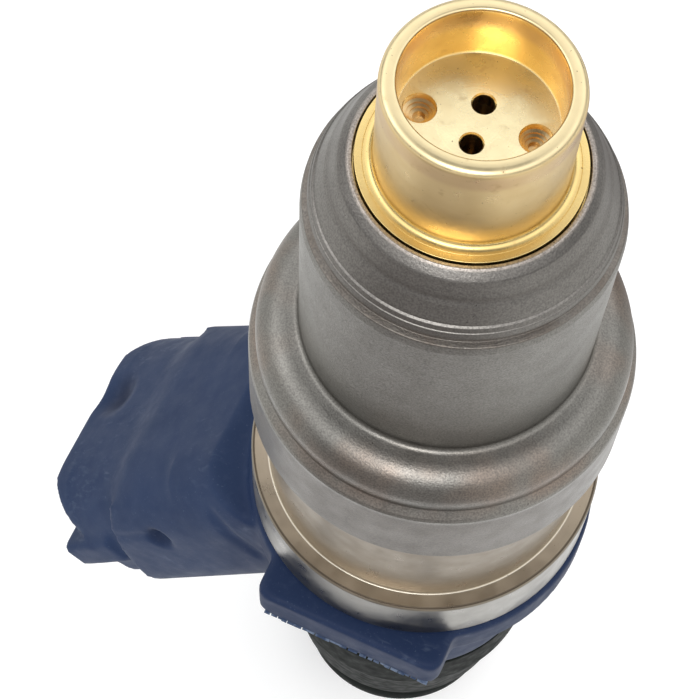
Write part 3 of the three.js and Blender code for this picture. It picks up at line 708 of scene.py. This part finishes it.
def build_nozzle_holder():
    radius, low, high = reach("nozzle_holder")
    neck = NECK_RADIUS
    shoulder = low + 6.65
    profile = rounded(
        [
            (10.0, low),
            (radius, low, 0.12),
            (radius - 0.03, low + 5.3, 0.15),
            (10.8, low + 5.58, 0.1),
            (10.42, low + 6.0, 0.12),
            *arc(8.4, shoulder + 0.1, 2.06, -2, 80, 16),
            (neck, low + 8.9, 0.4),
            (neck, high - 4.62, 0.3),
            (7.98, high - 4.05, 0.08),
            (7.66, high - 3.98, 0.05),
            (7.56, high - 3.8, 0.05),
            (7.74, high - 3.6, 0.1),
            (7.66, high - 3.22, 0.08),
            (7.6, high - 3.18, 0.03),
            (7.52, high - 2.9, 0.08),
            (7.4, high - 2.82, 0.03),
            (7.36, high - 2.7, 0.03),
            (6.95, high - 1.8, 0.3),
            (6.8, high - 1.55, 0.3),
            (6.35, high - 0.5, 0.6),
            (5.86, high, 0.1),
            (5.66, high - 0.03, 0.04),
            (5.62, high - 0.55),
            (5.86, high - 0.55),
            (5.86, high - 1.65),
            (5.0, high - 1.65),
            (5.0, 53.0),
            (4.55, 53.0),
            (4.55, 51.3),
            (5.4, 51.3),
            (5.4, 50.2),
            (10.0, 50.2),
        ]
    )
    holder = lathe("nozzle_holder_turned", profile, 192)
    dress(holder, "injector_body", "satin_steel", ["nozzle_holder"])


def build_magnet_housing():
    radius, low, high = reach("magnet_housing")
    ledge = low + LEDGE
    profile = rounded(
        [
            (9.25, low),
            (radius, low, 0.15),
            (radius, ledge - 0.14, 0.06),
            (radius - 0.12, ledge - 0.02, 0.04),
            (radius - 0.16, ledge - 0.04),
            (radius - 0.2, ledge, 0.02),
            (9.85, ledge, 0.12),
            (9.85, high, 0.1),
            (9.25, high),
        ]
    )
    housing = lathe("magnet_housing_turned", profile, 192)
    dress(housing, "injector_body", "plated_steel", ["magnet_housing"])


# ------------------------------------------------------------------ moulding


def bar(width, height, corner, start, end, rise=0.0, chamfer=0.0, flare=FLARE):
    """A rounded bar along the connector, its ends eased by a chamfer."""
    stations = [(start, 0), (end, 0)]
    if chamfer:
        stations = [(start, chamfer), (start + chamfer, 0), (end - chamfer, 0), (end, chamfer)]
    loops = []
    for z, inset in stations:
        wide = 1 + flare * (z + 8)
        points = outline(width - 2 * inset, height - 2 * inset, corner)
        loops.append((z, [(x * wide, y + rise) for x, y in points]))
    return prism("bar", loops, connector)


def collar_and_barrel(high):
    """The round collar and the barrel below it, as one turned solid."""
    collar_low = high - COLLAR_BOTTOM
    collar_high = high - COLLAR_TOP
    barrel_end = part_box("inlet_grommet")[1].z / MM + 0.2
    profile = rounded(
        [
            (4.46, barrel_end),
            (8.9, barrel_end, 0.2),
            (9.08, barrel_end + 0.35),
            (9.4, collar_low, 0.5),
            (COLLAR_RADIUS, collar_low, 0.3),
            (COLLAR_RADIUS, collar_high, 0.3),
            (9.1, collar_high),
            (9.1, high),
            (4.46, high),
        ]
    )
    return lathe("moulded_body_blue", profile, 128)


def lug_plate(high):
    """The locating plate that reaches out on both sides of the collar."""
    collar_low = high - COLLAR_BOTTOM
    collar_high = high - COLLAR_TOP
    loops = [
        (collar_low, outline(12.2, 23.6, 0.8)),
        (collar_low + 0.2, outline(12.6, 24, 0.9)),
        (collar_high - 0.25, outline(12.6, 24, 0.9)),
        (collar_high, outline(12.1, 23.5, 0.8)),
    ]
    return prism("lugs", loops, Matrix.Scale(MM, 4))


def connector_root(collar_high):
    """The connector's thick inner end, slanted below and cut off short of the collar's top."""
    root = bar(18.2, 11.6, 4.4, -24, -4, chamfer=0.3)
    lean = Matrix.Translation(on_connector(0, -5.8, -4)) @ connector.to_3x3().normalized().to_4x4()
    lean = lean @ Matrix.Rotation(math.radians(-24), 4, "X") @ Matrix.Scale(MM, 4)
    combine(root, "DIFFERENCE", prism("lean", [(0, outline(40, 40, 1)), (10, outline(40, 40, 1))], lean))
    keep = [(-40, outline(60, 60, 1)), (collar_high - 0.8, outline(60, 60, 1))]
    beside = Matrix.Translation((-36.5 * MM, 0, 0)) @ Matrix.Scale(MM, 4)
    combine(root, "INTERSECT", prism("keep", keep, beside))
    return root


def connector_sleeve():
    """The shell round the connector's mouth, with rounded corners seen from above."""
    sleeve = bar(17.2, 10.6, 4.6, -10, 0, chamfer=0.35)
    plan = connector @ Matrix.Translation((0, -10, -10)) @ Matrix.Rotation(math.radians(-90), 4, "X")
    seen_from_above = outline(18.6, 20, 5.6)
    combine(sleeve, "INTERSECT", prism("plan", [(0, seen_from_above), (20, seen_from_above)], plan))
    return sleeve


def soften(body):
    """Runs the joined solids into one moulded skin with soft inner corners."""
    remesh = body.modifiers.new("remesh", "REMESH")
    remesh.mode = "VOXEL"
    remesh.voxel_size = 0.24 * MM
    smooth = body.modifiers.new("smooth", "SMOOTH")
    smooth.factor = 0.5
    smooth.iterations = 5
    settle(body)
    to_connector = connector.inverted()

    def on_top_step(spot):
        x, y, z = to_connector @ spot
        return y > 4.2 and abs(x) < 7.6 and -16 < z < -2.2

    melt(body, on_top_step, 260)


def press_marks(mesh):
    """The latch dish, and on each side a groove, a dimple and a crease at the collar."""
    press(mesh, *[on_connector(*spot) for spot in latch_dish], 2.4, 0.65)
    for side in (-1, 1):
        press(mesh, on_connector(side * 9.2, 2.6, 0), on_connector(side * 8.75, 2.6, -11.4), 0.5, 0.12)
        press(mesh, *[on_connector(side * x, y, z) for x, y, z in side_dimple], 1.2, 0.85)
        press(mesh, on_connector(side * 8.05, 4.1, -20.2), on_connector(side * 8.1, -0.4, -20.6), 0.9, 0.25)


def build_moulding():
    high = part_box("moulded_body")[1].z / MM
    body = collar_and_barrel(high)
    lugs = lug_plate(high)
    root = connector_root(high - COLLAR_TOP)
    sleeve = connector_sleeve()
    rails = bar(18.1, 2.6, 0.5, -6, -0.3, rise=0.7, chamfer=0.2)
    combine(body, "UNION", lugs, root, sleeve, rails)
    combine(body, "DIFFERENCE", bar(12.6, 7.6, 2.4, -9.5, 1, flare=0.0))
    soften(body)
    finish_mesh(body.data, None)
    press_marks(body.data)
    finish_mesh(body.data, None)
    dress(body, "injector_body", "blue_plastic", ["moulded_body"])


def build_flash():
    """Ragged flakes along the lug plate's lower front edge, where it was broken from its runner."""
    dice = random.Random(SEED)
    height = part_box("moulded_body")[1].z / MM - COLLAR_BOTTOM
    work = bmesh.new()
    x = -5.6
    while x < 5.4:
        width = dice.uniform(0.25, 0.7)
        drop = dice.uniform(0.1, 0.45)
        out = dice.uniform(0.02, 0.14)
        top = [(x, -11.6, height + 0.3), (x + width, -11.6, height + 0.3)]
        top += [(x + width, -12.0 - out, height + 0.22), (x, -12.0 - out, height + 0.22)]
        tip = x + width * dice.uniform(0.3, 0.7)
        low_edge = [(tip - 0.06, -11.7, height - drop), (tip + 0.06, -11.7, height - drop)]
        low_edge += [(tip + 0.05, -11.95, height - drop), (tip - 0.05, -11.95, height - drop)]
        corners = [work.verts.new(Vector(p) * MM) for p in top + low_edge]
        for face in ((3, 2, 1, 0), (4, 5, 6, 7), (0, 1, 5, 4), (1, 2, 6, 5), (2, 3, 7, 6), (3, 0, 4, 7)):
            work.faces.new([corners[i] for i in face])
        x += width * dice.uniform(0.9, 1.5)
    mesh = bpy.data.meshes.new("lug_edge_flakes")
    work.to_mesh(mesh)
    work.free()
    finish_mesh(mesh)
    dress(piece("lug_edge_flakes", mesh), "injector_body", "blue_plastic", (), flash_plastic())


# ------------------------------------------------------------------ inlet end


def build_grommet():
    radius, low, high = reach("inlet_grommet")
    profile = rounded(
        [
            (4.48, low),
            (7.8, low, 0.9),
            (radius - 0.4, low + 6.0, 1.0),
            (radius, low + 7.6, 1.0),
            (radius, high, 0.3),
            (4.48, high),
        ]
    )
    grommet = lathe("inlet_grommet_moulded", profile, 128)
    dress(grommet, "injector_body", "black_rubber", ["inlet_grommet"])


def build_o_ring():
    outer, low, high = reach("inlet_o_ring")
    section = (high - low) / 2
    circle = arc(outer - section, low + section, section, 0, 360, 36)[:-1]
    ring = lathe("inlet_o_ring_moulded", circle, 144, sharp=None)
    dress(ring, "injector_body", "black_rubber", ["inlet_o_ring"])


def build_ring_spacer():
    outer, low, high = reach("ring_spacer")
    profile = rounded([(3.6, low, 0.1), (outer, low, 0.15), (outer, high, 0.15), (3.6, high, 0.1)])
    spacer = lathe("ring_spacer_turned", profile, 128)
    dress(spacer, "injector_body", "natural_plastic", ["ring_spacer"])


def build_inlet_core():
    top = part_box("inlet_core")[1].z / MM
    profile = rounded(
        [
            (3.05, 0, 0.15),
            (5.3, 0, 0.25),
            (5.3, 1.2, 0.12),
            (3.5, 1.2, 0.1),
            (3.5, 6.5),
            (4.4, 7.0),
            (4.4, top - 7.6),
            (9.1, top - 7.6, 0.1),
            (9.1, top - 6.1, 0.1),
            (4.4, top - 6.1),
            (4.4, top, 0.08),
            (2.2, top, 0.08),
            (2.2, 14.0),
            (3.05, 13.5),
        ]
    )
    dress(lathe("inlet_core_turned", profile, 128), "injector_body", "magnet_steel", ["inlet_core"])


# ------------------------------------------------------------------ inside


def build_winding():
    """The coil, its outer layer showing the turns of wire."""
    radius, low, high = reach("coil_winding")
    turns = 26
    pitch = (high - low) / turns
    profile = [(6.3, low), (radius - pitch / 2, low)]
    for i in range(turns):
        profile += arc(radius - pitch / 2, low + (i + 0.5) * pitch, pitch / 2, -80, 80, 6)
    profile += [(radius - pitch / 2, high), (6.3, high)]
    dress(lathe("coil_winding_turns", profile, 128, sharp=60), "injector_body", "copper", ["coil_winding"])


def build_spring():
    """The return spring, a round wire that is compressed a little as the needle lifts."""
    low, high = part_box("return_spring")
    wire = 0.3
    radius = (high.x - low.x) / 2 / MM - wire
    bottom, top = low.z / MM + wire, high.z / MM - wire
    steps = 24 * SPRING_TURNS
    points = []
    for i in range(steps + 1):
        t = i / steps
        ease = min(max((t - 0.02) / 0.96, 0), 1)
        rise = 0.5 * (t + ease * ease * (3 - 2 * ease))
        turn = 2 * math.pi * SPRING_TURNS * t
        height = bottom + (top - bottom) * rise
        points.append(Vector((radius * math.cos(turn), radius * math.sin(turn), height)))
    spring = sweep("return_spring_wire", points, wire)
    dress(spring, "injector_body", "bright_steel", ["return_spring"])
    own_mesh(spring)


def build_carried_over():
    """CAD nodes that are shown as they are, with smooth round faces, and eased edges on the two terminals.
    """
    kept = {
        "orifice_plate": "bright_steel",
        "valve_body": "bright_steel",
        "valve_body_seal": "brown_rubber",
        "stopper_plate": "bright_steel",
        "adjusting_tube": "brass",
        "nonmagnetic_ring": "bright_steel",
        "coil_bobbin": "natural_plastic",
        "coil_seal_nozzle_side": "brown_rubber",
        "coil_seal_inlet_side": "brown_rubber",
        "terminal_left": "tinned_brass",
        "terminal_right": "tinned_brass",
        "filter_frame": "natural_plastic",
        "filter_mesh": "bright_steel",
        "needle_valve": "bright_steel",
        "armature": "magnet_steel",
    }
    for name, slot in kept.items():
        node = frame["nodes"][name]
        material = woven_mesh() if name == "filter_mesh" else FINISHES[slot]
        node.data.materials.clear()
        node.data.materials.append(material)
        node.data.shade_smooth()
        node.data.set_sharp_from_angle(angle=math.radians(28))
        if name.startswith("terminal"):
            ease = node.modifiers.new("eased_edges", "BEVEL")
            ease.width = 0.12 * MM
            ease.segments = 2
            ease.limit_method = "ANGLE"
            ease.angle_limit = math.radians(40)


# ------------------------------------------------------------------ stage


def build_stage():
    size = 3.0
    corners = [(-size, -size, 0), (size, -size, 0), (size, size, 0), (-size, size, 0)]
    mesh = bpy.data.meshes.new("floor")
    mesh.from_pydata(corners, [], [(0, 1, 2, 3)])
    floor = piece("floor", mesh)
    floor.location.z = size_at_start[0][2]
    f = Finish("floor_paper", 0.0, 0.2)
    colour = f.mix((0.92, 0.92, 0.92), (0.95, 0.95, 0.95), f.noise(40.0, 3))
    f.shader.inputs["Emission Color"].default_value = (1, 1, 1, 1)
    f.shader.inputs["Emission Strength"].default_value = 0.14
    floor.data.materials.append(f.done(colour, f.span(f.noise(8.0), 0.3, 0.7, 0.75, 0.9, smooth=False)))


def build_flag():
    """A ring round the object that only reflections show, grey in front and pale at the sides."""
    floor = size_at_start[0][2] / MM
    flag = lathe("grey_flag", [(44, floor), (45, floor), (45, 66), (44, 66)], 96)
    f = Finish("grey_card", 0.0, 0.0)
    parts = f.node("ShaderNodeSeparateXYZ", {"Vector": f.place})
    aside = f.node("ShaderNodeMath", {0: parts.outputs["X"]}, operation="ABSOLUTE").outputs["Value"]
    glow = f.mix((0.42, 0.4, 0.39), (0.95, 0.95, 0.93), f.span(aside, 16, 40))
    f.feed(f.shader.inputs["Emission Color"], glow)
    f.shader.inputs["Emission Strength"].default_value = 1.0
    flag.data.materials.append(f.done(f.mix((0.0, 0.0, 0.0), (0.02, 0.02, 0.02), f.noise(9.0)), 0.9))
    flag.visible_camera = False
    flag.visible_diffuse = False
    flag.visible_shadow = False


def build_surroundings():
    """Bright soft walls between a dark horizon and a dark ceiling, on a plain white background."""
    world = bpy.data.worlds.new("studio")
    bpy.context.scene.world = world
    world.use_nodes = True
    tree = world.node_tree
    place = tree.nodes.new("ShaderNodeTexCoord")
    parts = tree.nodes.new("ShaderNodeSeparateXYZ")
    ramp = tree.nodes.new("ShaderNodeValToRGB")
    tree.links.new(place.outputs["Generated"], parts.inputs["Vector"])
    tree.links.new(parts.outputs["Z"], ramp.inputs["Fac"])
    room = tree.nodes["Background"]
    tree.links.new(ramp.outputs["Color"], room.inputs["Color"])
    room.inputs["Strength"].default_value = 1.5
    plain = tree.nodes.new("ShaderNodeBackground")
    plain.inputs["Color"].default_value = (1, 1, 1, 1)
    choose = tree.nodes.new("ShaderNodeMixShader")
    path = tree.nodes.new("ShaderNodeLightPath")
    tree.links.new(path.outputs["Is Camera Ray"], choose.inputs["Fac"])
    tree.links.new(room.outputs["Background"], choose.inputs[1])
    tree.links.new(plain.outputs["Background"], choose.inputs[2])
    tree.links.new(choose.outputs["Shader"], tree.nodes["World Output"].inputs["Surface"])
    horizon = ((0.0, 0.1), (0.17, 0.15), (0.34, 0.6))
    walls = ((0.5, 1.0), (0.8, 1.0))
    ceiling = ((0.9, 0.6), (0.96, 0.2), (1.0, 0.08))
    stops = horizon + walls + ceiling
    shades = ramp.color_ramp.elements
    for position, _ in stops[1:-1]:
        shades.new(position)
    for shade, (_, value) in zip(shades, stops):
        shade.color = (value, value, value, 1)


def softbox(name, place, target, size, power):
    light = bpy.data.lights.new(name, "AREA")
    light.shape = "RECTANGLE"
    light.size, light.size_y = size
    light.energy = power
    lamp = bpy.data.objects.new(name, light)
    lamp.location = place
    lamp.rotation_euler = (Vector(target) - Vector(place)).to_track_quat("-Z", "Y").to_euler()
    bpy.context.scene.collection.objects.link(lamp)


def build_camera():
    data = bpy.data.cameras.new("camera")
    data.lens = 103.06
    data.sensor_width = 36
    camera = bpy.data.objects.new("camera", data)
    place = Vector((12.56, -46.89, 153.01)) * MM
    target = Vector((-5.02, -1.34, 48.84)) * MM
    forward = (target - place).normalized()
    right = forward.cross(Vector((0, 0, 1))).normalized()
    turned = Matrix.Rotation(-0.064, 3, forward)
    right = turned @ right
    up = right.cross(forward)
    camera.matrix_world = Matrix.Translation(place) @ Matrix((right, up, -forward)).transposed().to_4x4()
    data.clip_start = 0.005
    bpy.context.scene.collection.objects.link(camera)
    bpy.context.scene.camera = camera


build_spray_cup()
build_nozzle_holder()
build_magnet_housing()
build_moulding()
build_flash()
build_grommet()
build_o_ring()
build_ring_spacer()
build_inlet_core()
build_winding()
build_spring()
build_carried_over()
build_stage()
build_flag()
build_surroundings()
softbox("front_box", (0.06, -0.42, 0.5), (0, 0, 0.05), (0.35, 0.25), 1.1)
softbox("left_box", (-0.5, -0.1, 0.35), (0, 0, 0.05), (0.3, 0.3), 0.3)
build_camera()
bpy.context.scene.view_settings.view_transform = "Standard"
